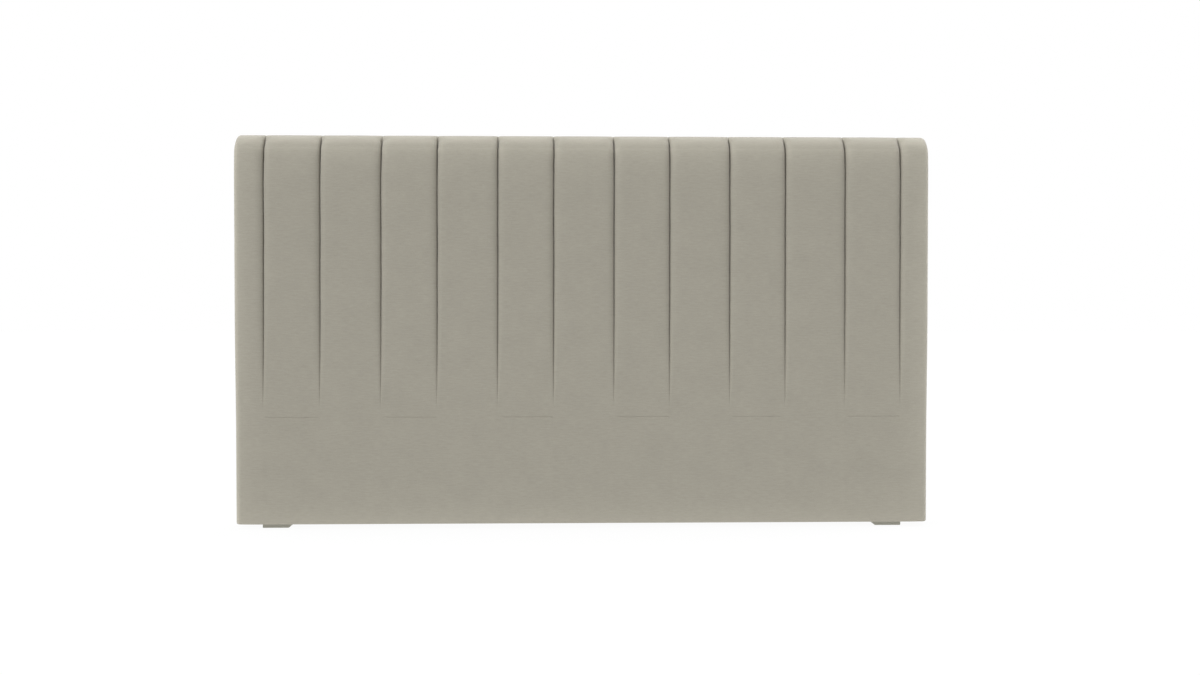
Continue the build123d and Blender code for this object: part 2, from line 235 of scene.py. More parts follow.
def merged(fixed, loose, gap):
    """Grid lines: all the fixed ones, and those loose ones that keep clear of them."""
    fixed = {round(v, DIGITS) for v in fixed}
    clear = [v for v in loose if min(abs(v - f) for f in fixed) >= gap]
    return np.array(sorted([*fixed, *clear]))


def between(low, high, step):
    """Even steps from low to high, both ends included."""
    return np.linspace(low, high, max(1, round((high - low) / step)) + 1)


def grid_quads(number, flip=False):
    """The quads of a grid of numbered points, turned over if asked."""
    loop = [number[:-1, :-1], number[1:, :-1], number[1:, 1:], number[:-1, 1:]]
    if flip:
        loop.reverse()
    return np.stack([a.ravel() for a in loop], axis=1)


def box_grid(xs, ys, zs):
    """The surface of a box with grid lines at xs, ys and zs: points, quads, side of each quad."""
    shape = (len(xs), len(ys), len(zs))
    on_surface = np.zeros(shape, bool)
    on_surface[[0, -1], :, :] = True
    on_surface[:, [0, -1], :] = True
    on_surface[:, :, [0, -1]] = True
    number = np.full(shape, -1)
    number[on_surface] = np.arange(on_surface.sum())
    at = np.argwhere(on_surface)
    points = np.stack([xs[at[:, 0]], ys[at[:, 1]], zs[at[:, 2]]], axis=1)
    planes = (  # in the order of SIDES
        (number[0], True), (number[-1], False), (number[:, 0], False),
        (number[:, -1], True), (number[:, :, 0], True), (number[:, :, -1], False))
    quads, sides = [], []
    for side, (plane, flip) in enumerate(planes):
        quads.append(grid_quads(plane, flip))
        sides.append(np.full(len(quads[-1]), side))
    return points, np.concatenate(quads), np.concatenate(sides)


def cast(points, core_low, core_high, distance):
    """Each point moved towards the core, along its own ray, onto the form's surface."""
    start = np.clip(points, core_low, core_high)
    ray = points - start
    near, far = np.zeros(len(points)), np.ones(len(points))
    for _ in range(BISECTIONS):
        middle = (near + far) / 2
        inside = distance(start + ray * middle[:, None]) < 0
        near = np.where(inside, middle, near)
        far = np.where(inside, far, middle)
    return start + ray * far[:, None]


def core(front, back, bottom):
    """Corners of the box inside the padded form that its rays run towards."""
    return (np.array([-HALF + SIDE_CORE, front, bottom]),
            np.array([HALF - SIDE_CORE, back, TOP - CROWN_CORE]))


def new_mesh(name, points, faces):
    """A mesh from lists of points and faces."""
    mesh = bpy.data.meshes.new(name)
    mesh.from_pydata(points, [], faces)
    return mesh


def placed(name, data):
    """A new object in the scene."""
    made = bpy.data.objects.new(name, data)
    bpy.context.scene.collection.objects.link(made)
    return made


# Padded form

def smooth(low, high, v):
    """0 below low, 1 above high and a smooth turn in between."""
    t = np.clip((v - low) / (high - low), 0, 1)
    return t * t * (3 - 2 * t)


def rounded(a, b, radius):
    """The inside of two boundaries whose shared edge is rounded."""
    outside = np.hypot(np.maximum(a + radius, 0), np.maximum(b + radius, 0))
    return np.minimum(-radius, np.maximum(a, b)) + outside


def crowned(a, b, depth, height):
    """The inside of two boundaries whose shared edge is rounded to an ellipse."""
    ahead, up = np.maximum(a + depth, 0), np.maximum(b + height, 0)
    reach = np.hypot(ahead, up)
    share = np.maximum(np.hypot(ahead / depth, up / height), TINY)
    return np.where((ahead > 0) & (up > 0), reach - reach / share, np.maximum(a, b))


def half_width(z):
    """Half the width at each height: drawn in at the top, and a little in the plain part."""
    lean = LEAN_WIDTH * smooth(TOP - LEAN_LOW, TOP - LEAN_HIGH, z)
    return HALF - lean - WAIST_WIDTH * (1 - smooth(WAIST_LOW, WAIST_HIGH, z))


def pillow(x, z):
    """How far the face falls back towards its sides and its top."""
    edges = ((HALF - np.abs(x), PILLOW_REACH, PILLOW_DEPTH), (TOP - z, TOP_REACH, TOP_DEPTH))
    return sum(depth * np.clip(1 - gap / reach, 0, 1) ** 3 for gap, reach, depth in edges)


def padded_distance(inset, back, bottom, hem):
    """Distance to the padded form, taken in by inset at the front, sides and top."""
    def distance(p):
        x, y, z = p.T
        face = crowned(FRONT + inset + pillow(x, z) - y, z - (TOP - inset),
                       CROWN_DEPTH - inset, CROWN_HEIGHT - inset)
        on_top = smooth(SIDE_RADIUS, CROWN_DEPTH, y - FRONT)
        corner = SIDE_RADIUS + (CORNER_RADIUS - SIDE_RADIUS) * on_top
        form = rounded(
            face, np.abs(x) - half_width(z) + inset, np.maximum(corner - inset, TINY))
        return rounded(rounded(form, y - back, hem), bottom - z, hem)
    return distance


def ripples(t, lengths, seed):
    """A smooth uneven curve of about unit height: waves of several lengths, added."""
    rng = np.random.default_rng(seed)
    total = np.zeros_like(t)
    for length in lengths:
        total += np.sin(2 * np.pi * t / length + rng.uniform(0, 2 * np.pi))
    return total / math.sqrt(len(lengths))


def seam_share(z):
    """How deep a groove is at each height of the face, as a share of its full depth."""
    return np.interp((z - FADE_BOTTOM) / FADE_LENGTH, FADE_PLACES, FADE_SHARES)


def path_turn(p):
    """Angle round the crown (0 at the front, a right angle on top) and share of the depth."""
    up = np.maximum(p[:, 2] - (TOP - CROWN_HEIGHT), 0) / CROWN_HEIGHT
    ahead = np.maximum(FRONT + CROWN_DEPTH - p[:, 1], 0) / CROWN_DEPTH
    turn = np.where(ahead > 0, np.arctan2(up, np.maximum(ahead, TINY)), np.pi / 2)
    pulled = 1 + PULL_SHARE * smooth(TOP - PULL_REACH, TOP - CROWN_HEIGHT / 2, p[:, 2])
    left = 1 - smooth(RUN_OUT_START, RUN_OUT_END, turn)
    over_share = TOP_SHARE + (pulled - TOP_SHARE) * left
    return turn, seam_share(p[:, 2]) * over_share


def facing(turn):
    """Which way the cloth faces on the crown: its parts forward and up."""
    forward, up = CROWN_HEIGHT * np.cos(turn), CROWN_DEPTH * np.sin(turn)
    return forward / np.hypot(forward, up), up / np.hypot(forward, up)


def path_length(y, z, turn):
    """Distance along the cloth: up the face, round the crown and back over the top."""
    face_end = TOP - CROWN_HEIGHT
    on_top = np.maximum(y - FRONT - CROWN_DEPTH, 0) * (turn >= np.pi / 2)
    return np.minimum(z, face_end) + CROWN_PACE * turn + on_top


def cell(lines, value):
    """Which line a value follows, and its share of the way from there to the next one."""
    i = np.clip(np.searchsorted(lines, value) - 1, 0, len(lines) - 2)
    return i, np.clip((value - lines[i]) / (lines[i + 1] - lines[i]), 0, 1)


class Swell:
    """The channels' swelling, from a cloth simulation of the cover's front and top.

    A sheet in the cover's shape is held along its edges, on every groove's seam and where it
    lies flat on the plain part. The padding's pressure swells it in between.
    """

    def __init__(self):
        face_end = TOP - CROWN_HEIGHT
        crown_end = face_end + CROWN_PACE * math.pi / 2
        length = crown_end + BACK - FRONT - CROWN_DEPTH
        stops = [-HALF, *GROOVES, HALF]
        self.across = np.unique(np.concatenate(
            [between(a, b, SIM_STEP) for a, b in zip(stops, stops[1:])]).round(DIGITS))
        self.along = np.concatenate([
            between(BOTTOM, SEAM_Z, 2 * SIM_STEP)[:-1],
            between(SEAM_Z, face_end, SIM_STEP)[:-1],
            between(face_end, crown_end, SIM_STEP)[:-1],
            between(crown_end, length, SIM_STEP)])
        u, v = np.meshgrid(self.across, self.along, indexing="ij")
        turn = np.clip((v - face_end) / CROWN_PACE, 0, math.pi / 2)
        start = np.stack([
            u, FRONT + CROWN_DEPTH * (1 - np.cos(turn)) + np.maximum(v - crown_end, 0),
            np.minimum(v, face_end) + CROWN_HEIGHT * np.sin(turn)], axis=-1)
        forward, up = facing(turn)
        outward = np.stack([0 * turn, -forward, up], axis=-1)
        share = seam_share(v)
        on_seam = nearest_groove(u.ravel()).reshape(u.shape) < TINY
        on_edge = (np.abs(u) > HALF - TINY) | (v > length - TINY) | (v < SEAM_Z + TINY)
        held = np.where(on_edge, 1.0, np.where(on_seam, np.sqrt(share), 0.0))
        end = self.simulate(start, held, share**2)
        swell = ((end - start) * outward).sum(axis=-1)
        self.height = np.clip(swell, -SIM_CAP, SIM_CAP)

    def simulate(self, start, held, pushed):
        """Blender's cloth, blown up for a few frames, and where its points come to rest."""
        quads = grid_quads(np.arange(held.size).reshape(held.shape))
        mesh = new_mesh("swelling_sheet", start.reshape(-1, 3).tolist(), quads.tolist())
        sheet = placed("swelling_sheet", mesh)
        # Weights in steps of a hundredth, as each level takes a call
        for name, weights in (("held", held), ("pushed", pushed)):
            group = sheet.vertex_groups.new(name=name)
            levels = weights.round(2).ravel()
            for level in np.unique(levels):
                group.add(np.flatnonzero(levels == level).tolist(), float(level), "REPLACE")
        cloth = sheet.modifiers.new("cloth", "CLOTH")
        settings = cloth.settings
        settings.quality = SIM_QUALITY
        settings.tension_stiffness = SIM_TENSION
        settings.compression_stiffness = SIM_TENSION
        settings.shear_stiffness = SIM_TENSION / 3
        settings.use_pressure = True
        settings.uniform_pressure_force = SIM_PRESSURE
        settings.vertex_group_pressure = "pushed"
        settings.vertex_group_mass = "held"
        settings.effector_weights.gravity = 0.0
        cloth.collision_settings.use_collision = False
        scene = bpy.context.scene
        first = scene.frame_current
        for number_of_frame in range(1, SIM_FRAMES + 1):
            scene.frame_set(number_of_frame)
        result = sheet.evaluated_get(bpy.context.evaluated_depsgraph_get()).data
        end = np.empty(start.size, np.float32)
        result.vertices.foreach_get("co", end)
        scene.frame_set(first)
        bpy.data.objects.remove(sheet)
        bpy.data.meshes.remove(mesh)
        return end.reshape(start.shape).astype(float)

    def at(self, x, v):
        """The swelling at any place on the cover, between the simulated points."""
        i, s = cell(self.across, x)
        j, t = cell(self.along, v)
        h = self.height
        return ((1 - s) * ((1 - t) * h[i, j] + t * h[i, j + 1])
                + s * ((1 - t) * h[i + 1, j] + t * h[i + 1, j + 1]))


channel_swell = Swell()


# Sewing and stuffing

def groove_dip(gap, share):
    """The rolls on both sides of a groove, and the slit where they meet."""
    depth = ROLL_DEPTH * share
    half = np.sqrt(2 * ROLL_RADIUS * depth - depth**2)
    rolls = ROLL_RADIUS - np.sqrt(ROLL_RADIUS**2 - np.clip(half - gap, 0, None) ** 2)
    t = np.clip(1 - gap / SLIT_HALF, 0, 1)
    return rolls + SLIT_DEPTH * share * (1 - np.sqrt(1 - t * t))


def puckers(u, at, along, share):
    """Puckers beside the seams, uneven by themselves on both sides of each."""
    pucker = np.zeros_like(u)
    for k in range(len(GROOVES)):
        for side in (0, 1):
            mine = (at == k) & ((u > 0) == bool(side))
            wave = ripples(along, PUCKER_WAVES, SEED + 10 * k + side)
            pucker = np.where(mine, wave, pucker)
    return PUCKER * share * pucker * np.exp(-((u / PUCKER_REACH) ** 2))


def soft_waves(x, z):
    """Soft waves over the whole face."""
    across = ripples(x + SLANT_ACROSS * z, WAVES_ACROSS, SEED)
    return WAVE * (1 + across * ripples(z - SLANT_UP * x, WAVES_UP, SEED + 1))


def cross_seams(x, z):
    """The dips of the cross seams, only on the narrow channels, and the lips below them."""
    edges = np.concatenate([[-HALF], GROOVES, [HALF]])
    channel = np.clip(np.searchsorted(edges, x) - 1, 0, len(edges) - 2)
    low, high = edges[channel], edges[channel + 1]
    window = smooth(low + CROSS_START / 2, low + CROSS_START, x) * (
        1 - smooth(high - CROSS_END, high - CROSS_END / 2, x))
    dip = CROSS_DEPTH * np.clip(1 - np.abs(z - SEAM_Z) / CROSS_HALF, 0, 1) ** CROSS_POWER
    below = SEAM_Z - z
    lip = CROSS_LIP * smooth(0, LIP_DROP, below) * (1 - smooth(LIP_DROP, LIP_REACH, below))
    return (dip - lip) * window * (channel % 2 == 1)


def seam_shifts(u, at, along, share):
    """How far the seams stray from their lines, and the cloth beside them with them."""
    line = np.zeros_like(u)
    for k in range(len(GROOVES)):
        line = np.where(at == k, ripples(along, WANDER_WAVES, SEED + 100 + k), line)
    return (WANDER * line + SEAM_SHIFT) * share * np.exp(-((u / SHIFT_REACH) ** 2))


def drawn_in(p):
    """The padded form with its grooves, channels, cross seams and unevenness."""
    x, y, z = p.T
    turn, share = path_turn(p)
    behind = y > FRONT + CROWN_DEPTH
    share = share * np.where(behind, smooth(BACK_FADE_LOW, BACK_FADE_HIGH, z), 1.0)
    at = np.abs(x[:, None] - GROOVES[None, :]).argmin(axis=1)
    u = x - GROOVES[at]
    along = z + FRONT - y
    inward = groove_dip(np.abs(u), share) + SWELL * seam_share(z) * np.cos(turn)
    inward = inward - channel_swell.at(x, path_length(y, z, turn))
    inward = inward + puckers(u, at, along, share)
    inward = inward + np.where(behind, 0, soft_waves(x, z))
    inward = inward + np.where(behind | (y >= 0), 0, cross_seams(x, z))
    moved = p.copy()
    forward, up = facing(turn)
    moved[:, 0] += seam_shifts(u, at, along, share)
    moved[:, 1] += inward * forward
    moved[:, 2] -= inward * up
    return moved


def painted_glow_share(p):
    """How much painted glow each point gets: about 1 at the edges and the crown, and 0 well away.
    """
    x, y, z = p.T
    turn, _ = path_turn(p)
    side = np.exp(-np.maximum(HALF - np.abs(x), y - FRONT).clip(0) / PAINTED_GLOW_REACH)
    side = side * np.where(x < 0, LEFT_GLOW_SHARE, RIGHT_GLOW_SHARE)
    bottom = np.exp(-np.maximum(z - BOTTOM, y - FRONT).clip(0) / PAINTED_GLOW_REACH)
    over = path_length(y, z, turn) - (TOP - CROWN_HEIGHT + CROWN_GLOW_PLACE)
    crown = np.exp(np.minimum(over / PAINTED_GLOW_REACH, -over / CROWN_GLOW_REACH))
    ahead = np.clip((FRONT + CROWN_DEPTH - y) / CROWN_DEPTH, 0, 1)
    up = np.clip((z - TOP + CROWN_HEIGHT) / CROWN_HEIGHT, 0, 1)
    crown = crown * smooth(CROWN_SKIN_LOW, CROWN_SKIN_HIGH, np.hypot(ahead, up))
    return 1 - (1 - side) * (1 - bottom) * (1 - crown)


# Grid lines

# How far the lines stand from a groove, a side's edge, the crown's front and top, a hem
# and a cross seam
GROOVE_OFFSETS = (0.0005, 0.0012, 0.0022, 0.0035, 0.0052, 0.0078, 0.0112, 0.0153, 0.0205)
EDGE_OFFSETS = (0.0, 0.002, 0.004, 0.0062, 0.0085, 0.011, 0.014, 0.0175, 0.022)
CROWN_OFFSETS = (0.0, 0.0029, 0.0060, 0.0092, 0.0125, 0.0159, 0.0194, 0.0231, 0.0269,
                 0.0309, 0.0352, 0.0400, 0.0460)
HEM_OFFSETS = (0.0, 0.0014, 0.0028, 0.0044, 0.0064, 0.009)
SEAM_OFFSETS = (0.0009, 0.0018, 0.0030, 0.0048, 0.008)
SIDE_CORE = EDGE_OFFSETS[-1] + TINY
CROWN_CORE = CROWN_OFFSETS[-1]
HEM_CORE = HEM_OFFSETS[-1]

# Steps elsewhere: across, up the channels, up the plain part, and from front to back
COVER_STEPS = (0.016, 0.0085, 0.014, 0.010)
PADDING_STEPS = (0.025, 0.016, 0.030, 0.014)
TOP_FOAM_STEP = 0.010
SIDE_FOAM_STEPS = (0.006, 0.020)  # from front to back, and up


def filled(fixed, step, low_step=None):
    """The fixed lines with even steps in between, longer ones below the cross seams."""
    stops = sorted(fixed)
    loose = []
    for a, b in zip(stops, stops[1:]):
        pitch = low_step if low_step and a < SEAM_Z else step
        if b - a > LONG_GAP * pitch:
            loose += list(between(a, b, pitch)[1:-1])
    return merged(fixed, loose, TINY)


def width_lines(half, extra, step):
    """Lines across the width: close together at the grooves and at the edges."""
    fixed = list(extra)
    for x in GROOVES:
        fixed += [x] + [x + s * o for o in GROOVE_OFFSETS for s in (-1, 1)]
    fixed += [s * (half - o) for o in EDGE_OFFSETS for s in (-1, 1)]
    return filled([v for v in fixed if abs(v) <= half + TINY], step)


def height_lines(bottom, top, extra, step, low_step):
    """Lines up the height: close together at the edges and at the cross seams."""
    fixed = list(extra) + [SEAM_Z]
    fixed += [SEAM_Z + s * o for o in SEAM_OFFSETS for s in (-1, 1)]
    fixed += [top - o for o in CROWN_OFFSETS]
    fixed += [bottom + o for o in HEM_OFFSETS]
    return filled(fixed, step, low_step)


def depth_lines(front, back, step):
    """Lines from front to back: close together round the crown and at the back edge."""
    return filled(
        [front + o for o in CROWN_OFFSETS] + [back - o for o in HEM_OFFSETS], step)


# Meshes

def weave_map(grid_points, quads, sides):
    """Where the weave lies: across the width and along the cloth, for each corner of each quad."""
    x, y, z = (grid_points[quads, i] for i in range(3))
    left, right, front, back, bottom, top = (
        (sides == i)[:, None] for i in range(len(SIDES)))
    round_side = HALF + (y - FRONT)
    u = np.where(left, -round_side, np.where(right, round_side, x))
    v = np.where(front | left | right, z, 0.0)
    v = np.where(top, TOP + (y - FRONT), v)
    v = np.where(bottom, BOTTOM - (y - FRONT), v)
    v = np.where(back, TOP + (BACK - FRONT) + (TOP - z), v)
    return np.stack([u, v], axis=-1)


def shell_mesh(name, outer, inner, quads, weave=None, traits=None):
    """A closed skin between two surfaces with the same grid, walled at the skin's edges.

    traits holds a value for each grid point under each name that the materials read.
    """
    used = np.unique(quads)
    renumber = np.full(len(outer), -1)
    renumber[used] = np.arange(len(used))
    face = renumber[quads]
    count = len(used)
    starts, ends = face, np.roll(face, -1, axis=1)
    keys = set(zip(starts.ravel().tolist(), ends.ravel().tolist()))
    open_edges = sorted((a, b) for a, b in keys if (b, a) not in keys)
    walls = np.array(
        [(b, a, a + count, b + count) for a, b in open_edges], int).reshape(-1, 4)
    under = face[:, ::-1] + count
    faces = np.concatenate([face, under, walls])
    verts = np.concatenate([outer[used], inner[used]])
    mesh = new_mesh(name, verts.tolist(), faces.tolist())
    if weave is not None:
        layer = mesh.uv_layers.new(name="Weave")
        whole = np.zeros((len(faces), 4, 2))
        whole[: len(face)] = weave
        whole[len(face): 2 * len(face)] = weave[:, ::-1]
        layer.data.foreach_set("uv", whole.astype(np.float32).ravel())
    for trait, values in (traits or {}).items():
        layer = mesh.attributes.new(trait, "FLOAT", "POINT")
        layer.data.foreach_set("value", np.tile(values[used], 2).astype(np.float32))
    return finished(name, mesh)


def finished(name, mesh):
    """An object in the scene from a mesh: smooth, with its real edges kept sharp."""
    mesh.validate()
    mesh.update()
    mesh.shade_smooth()
    mesh.set_sharp_from_angle(angle=math.radians(SHARP_ANGLE))
    return placed(name, mesh)


def solid_mesh(name, points, quads):
    """A closed solid from the whole surface of a grid."""
    return finished(name, new_mesh(name, points.tolist(), quads.tolist()))


# Cover

def make_cover():
    """The sewn cover: a main piece, and a strip for each narrow channel."""
    window_x = side_foam_low.x - MARGIN_TURN
    window_low = foam_low.z + MARGIN_TURN
    window_high = board_high.z - MARGIN_TURN
    across, up, low_up, deep = COVER_STEPS
    xs = width_lines(HALF + OUTSIDE, (-window_x, window_x), across)
    zs = height_lines(BOTTOM - OUTSIDE, TOP + OUTSIDE, (window_low, window_high), up, low_up)
    ys = depth_lines(FRONT - OUTSIDE, BACK + OUTSIDE, deep)
    grid, quads, sides = box_grid(xs, ys, zs)
    heart = core(FRONT + CROWN_CORE, BACK - HEM_CORE, BOTTOM + HEM_CORE)
    plain = cast(grid, *heart, padded_distance(0.0, BACK, BOTTOM, HEM_RADIUS))
    outer = drawn_in(plain)
    inner = drawn_in(cast(grid, *heart, padded_distance(
        FABRIC, TIMBER_BACK, BOTTOM + FABRIC, HEM_RADIUS - FABRIC)))
    centre = grid[quads].mean(axis=1)
    in_window = (
        (sides == SIDES.index("back")) & (np.abs(centre[:, 0]) < window_x)
        & (centre[:, 2] > window_low) & (centre[:, 2] < window_high))
    channel = np.searchsorted(GROOVES, centre[:, 0])
    in_strip = (
        (channel % 2 == 1) & (centre[:, 2] > SEAM_Z) & (sides != SIDES.index("bottom")))
    weave = weave_map(grid, quads, sides)
    # The painted glow near the edges goes with the points, for the velvet's colour
    traits = {"seam_gap": nearest_groove(grid[:, 0]), "painted_glow": painted_glow_share(plain)}
    pieces = []
    rest = ~in_window & ~in_strip
    main = shell_mesh("cover_fabric", outer, inner, quads[rest], weave[rest], traits)
    pieces.append((main, "cover_main"))
    for number in range(NARROW_COUNT):
        mine = ~in_window & in_strip & (channel == 2 * number + 1)
        strip = shell_mesh(
            f"channel_fabric_{number + 1}", outer, inner, quads[mine], weave[mine], traits)
        pieces.append((strip, f"channel_strip_{number + 1}"))
    return pieces


# Padding under the cover

def padding_lines():
    """Lines across and up, for the wadding and for the foam on the face."""
    xs = width_lines(HALF + OUTSIDE, (), PADDING_STEPS[0])
    return xs, height_lines(foam_low.z, TOP + OUTSIDE, (), *PADDING_STEPS[1:3])


def make_wadding():
    """Wadding: a thick skin under the cover, open at the bottom and at the back."""
    xs, zs = padding_lines()
    ys = depth_lines(FRONT - OUTSIDE, TIMBER_BACK, PADDING_STEPS[3])
    grid, quads, sides = box_grid(xs, ys, zs)
    heart = core(FRONT + CROWN_CORE, TIMBER_BACK, foam_low.z)
    shown = (sides != SIDES.index("back")) & (sides != SIDES.index("bottom"))
    surfaces = []
    for inset in (FABRIC + TINY, PADDING - TINY):
        distance = padded_distance(inset, FAR, -FAR, TINY)
        surfaces.append(drawn_in(cast(grid, *heart, distance)))
    return shell_mesh("wadding_layer", *surfaces, quads[shown])


def make_face_foam():
    """Foam on the face: flat against the board, with grooves and rounded edges in front."""
    inset = PADDING + TINY
    back = board_low.y - TINY
    xs, zs = padding_lines()
    ys = np.array([FRONT - OUTSIDE + o for o in CROWN_OFFSETS[:-1]] + [back])
    grid, quads, _ = box_grid(xs, ys, zs)
    margin = HEM_CORE / 4
    heart = core(back - margin, back - margin, foam_low.z + margin)
    points = drawn_in(cast(grid, *heart, padded_distance(inset, back, foam_low.z, TINY)))
    return solid_mesh("face_foam", points, quads)


def make_top_foam():
    """Foam strip on top of the frame, behind the face foam: flat below, shaped above."""
    inset = PADDING + TINY
    front, back = board_low.y + TINY, TIMBER_BACK - TINY
    bottom = board_high.z + TINY
    half = float(half_width(bottom)) - inset - TINY
    grid, quads, sides = box_grid(
        width_lines(half, (), PADDING_STEPS[0]), between(front, back, TOP_FOAM_STEP),
        np.array([bottom, TOP + OUTSIDE]))
    core_low, core_high = np.array([-half, front, bottom]), np.array([half, back, bottom])
    upper = drawn_in(cast(grid, core_low, core_high, padded_distance(inset, FAR, -FAR, TINY)))
    under = upper.copy()
    under[:, 2] = bottom
    return shell_mesh("top_foam", upper, under, quads[sides == SIDES.index("top")])


def make_side_foam(side):
    """Foam strip along one side of the frame, bowed a little as cut foam is."""
    low, high = side_foam_low, side_foam_high
    xs = np.linspace(low.x, high.x, SIDE_FOAM_LINES)
    xs[0] += TINY
    xs[-1] -= TINY
    ys = between(low.y + TINY, high.y - TINY, SIDE_FOAM_STEPS[0])
    zs = between(low.z + TINY, high.z - TINY, SIDE_FOAM_STEPS[1])
    grid, quads, _ = box_grid(xs, ys, zs)
    x, y, z = grid.T
    out = (x - low.x) / (high.x - low.x)
    waist = WAIST_WIDTH * (1 - smooth(WAIST_LOW, WAIST_HIGH, z))
    edge = np.abs(2 * (y - low.y) / (high.y - low.y) - 1) ** SIDE_FOAM_POWER
    grid[:, 0] = x - out * (waist + SIDE_FOAM_BOW * edge)
    if side < 0:
        grid[:, 0] *= -1
        quads = quads[:, ::-1]
    return solid_mesh(f"side_foam_{'right' if side > 0 else 'left'}", grid, quads)


# Lining

def lining_surfaces(gx, gz):
    """The lining's outer and inner depth: it sags, ripples at its staples and has a hem."""
    end_gap = np.minimum(gz - lining_low.z, lining_high.z - gz)
    side_gap = lining_high.x - np.abs(gx)
    gap = np.minimum(side_gap, end_gap)
    bay = smooth(LINING_SAG_LOW, LINING_SAG_HIGH, gap)
    even, across, up = LINING_SAG_SHARES
    sag = LINING_SAG * bay * (even + across * ripples(gx, LINING_WAVES_ACROSS, SEED + 3)
                              + up * ripples(gz, LINING_WAVES_UP, SEED + 4))
    pull = np.exp(-np.clip(gap - LINING_HEM, 0, None) / LINING_PULL)
    along = np.where(side_gap < end_gap, gz, gx)
    ripple = LINING_RIPPLE * pull * np.cos(2 * np.pi * along / STAPLE_PITCH)
    hem = 1 - smooth(LINING_HEM - LINING_HEM_STEP, LINING_HEM, gap)
    edge = 1 - smooth(0.0, LINING_EDGE, gap)
    outer_y = lining_high.y - TINY - sag - np.abs(ripple)
    outer_y = outer_y - LINING_HEM_RISE * (1 - hem) - LINING_EDGE_DROP * edge
    thick = LINING_SHEET * (1 + LINING_HEM_MORE * hem) - LINING_EDGE_THIN * edge
    inner_y = np.maximum(outer_y - thick, lining_low.y + TINY - LINING_SAG * bay)
    return outer_y, inner_y


def make_lining():
    """The non-woven lining: a thin stretched sheet with a folded hem and four bolt holes."""
    half, low, high = lining_high.x, lining_low.z, lining_high.z
    fixed_x = [s * (half - o) for o in LINING_OFFSETS for s in (-1, 1)]
    fixed_z = [low + o for o in LINING_OFFSETS] + [high - o for o in LINING_OFFSETS]
    xs = merged(fixed_x, between(-half, half, LINING_STEP), LINING_CLEAR)
    zs = merged(fixed_z, between(low, high, LINING_STEP), LINING_CLEAR)
    gx, gz = np.meshgrid(xs, zs, indexing="ij")
    outer_y, inner_y = lining_surfaces(gx, gz)
    quads = grid_quads(np.arange(gx.size).reshape(gx.shape), flip=True)
    outer = np.stack([gx, outer_y, gz], axis=-1).reshape(-1, 3)
    inner = np.stack([gx, inner_y, gz], axis=-1).reshape(-1, 3)
    lining = shell_mesh("lining_sheet", outer, inner, quads, outer[:, [0, 2]][quads])
    cut_holes(lining)
    return lining


def cut_holes(lining):
    """Round holes where the bolts go in, around the four threaded inserts."""
    steps = HOLE_STEPS
    turn = np.linspace(0, 2 * np.pi, steps, endpoint=False)
    inset = insert_high.x - INSERT_FLANGE
    levels = (insert_low.z + INSERT_FLANGE, insert_high.z - INSERT_FLANGE)
    verts, faces = [], []
    for x in (-inset, inset):
        for z in levels:
            first = len(verts)
            for y in (lining_low.y - HOLE_RADIUS, lining_high.y + HOLE_RADIUS):
                verts += [(x + HOLE_RADIUS * math.cos(a), y, z + HOLE_RADIUS * math.sin(a))
                          for a in turn]
            for i in range(steps):
                j = (i + 1) % steps
                faces.append((first + i, first + steps + i, first + steps + j, first + j))
            faces.append(tuple(first + i for i in range(steps)))
            faces.append(tuple(first + steps + i for i in reversed(range(steps))))
    cutter = placed("hole_cutters", new_mesh("hole_cutters", verts, faces))
    cut = lining.modifiers.new("holes", "BOOLEAN")
    cut.operation = "DIFFERENCE"
    cut.solver = "EXACT"
    cut.object = cutter
    bpy.context.view_layer.update()
    result = bpy.data.meshes.new_from_object(
        lining.evaluated_get(bpy.context.evaluated_depsgraph_get()))
    lining.modifiers.clear()
    lining.data = result
    bpy.data.objects.remove(cutter)


# Materials

class Nodes:
    """A node tree, and short ways to add nodes to it."""

    def __init__(self, tree):
        self.tree = tree

    def feed(self, node, inputs):
        """Numbers and colours set on a node's inputs, and outputs linked to them."""
        for key, value in inputs.items():
            if isinstance(value, bpy.types.NodeSocket):
                self.tree.links.new(value, node.inputs[key])
            else:
                node.inputs[key].default_value = value

    def node(self, kind, inputs=None, **settings):
        """The outputs of a new node with these inputs and settings."""
        made = self.tree.nodes.new(kind)
        for key, value in settings.items():
            setattr(made, key, value)
        self.feed(made, inputs or {})
        return made.outputs

    def where(self, kind="Object"):
        """Texture coordinates of one kind."""
        return self.node("ShaderNodeTexCoord")[kind]

    def parts(self, vector):
        """X, Y and Z of a vector."""
        return self.node("ShaderNodeSeparateXYZ", {0: vector})

    def scaled(self, vector, scale):
        return self.node("ShaderNodeMapping", {"Vector": vector, "Scale": scale})["Vector"]

    def noise(self, vector, scale, detail=2.0, roughness=0.6):
        return self.node("ShaderNodeTexNoise", {
            "Scale": 1.0, "Detail": detail, "Roughness": roughness,
            "Vector": self.scaled(vector, scale)})["Fac"]

    def math(self, operation, *values, clamp=False):
        return self.node(
            "ShaderNodeMath", dict(enumerate(values)), operation=operation, use_clamp=clamp)[0]

    def spread(self, value, amount, base=0.0):
        """A noise's value about its middle, times amount, plus base."""
        return self.math("MULTIPLY_ADD", self.math("SUBTRACT", value, NOISE_MIDDLE), amount, base)

    def total(self, *values):
        result = values[0]
        for value in values[1:]:
            result = self.math("ADD", result, value)
        return result


